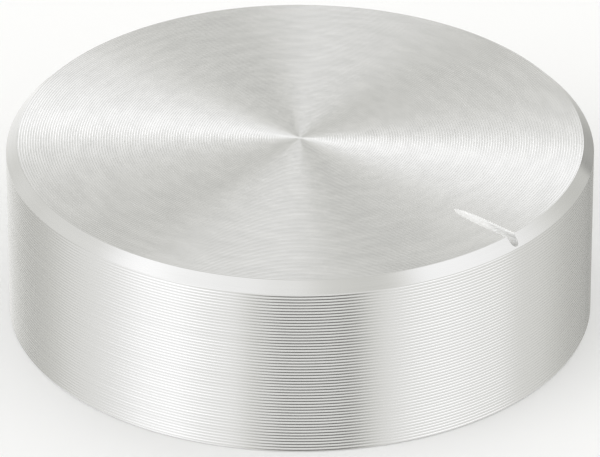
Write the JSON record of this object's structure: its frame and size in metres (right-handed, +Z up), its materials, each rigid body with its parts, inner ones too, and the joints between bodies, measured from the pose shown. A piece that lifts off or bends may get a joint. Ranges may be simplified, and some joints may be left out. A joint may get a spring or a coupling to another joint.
{
  "type": "control knob",
  "caption": "Round turned-metal control knob with concentric grooves, a polished rim chamfer and a milled pointer notch, locked on a plain round shaft by a set screw.",
  "frame": {"origin": "centre of the flat base, on the shaft axis", "axes": "+Z up the shaft axis towards the top face, +X towards the pointer notch"},
  "size_m": [0.045, 0.045, 0.0144],
  "materials": {
    "turned_aluminium": "turned grooves with a polished rim chamfer, bare metal",
    "black_steel": "black oxide"
  },
  "bodies": {
    "root": {"knob_body": "turned_aluminium", "set_screw": "black_steel"}
  },
  "joints": []
}
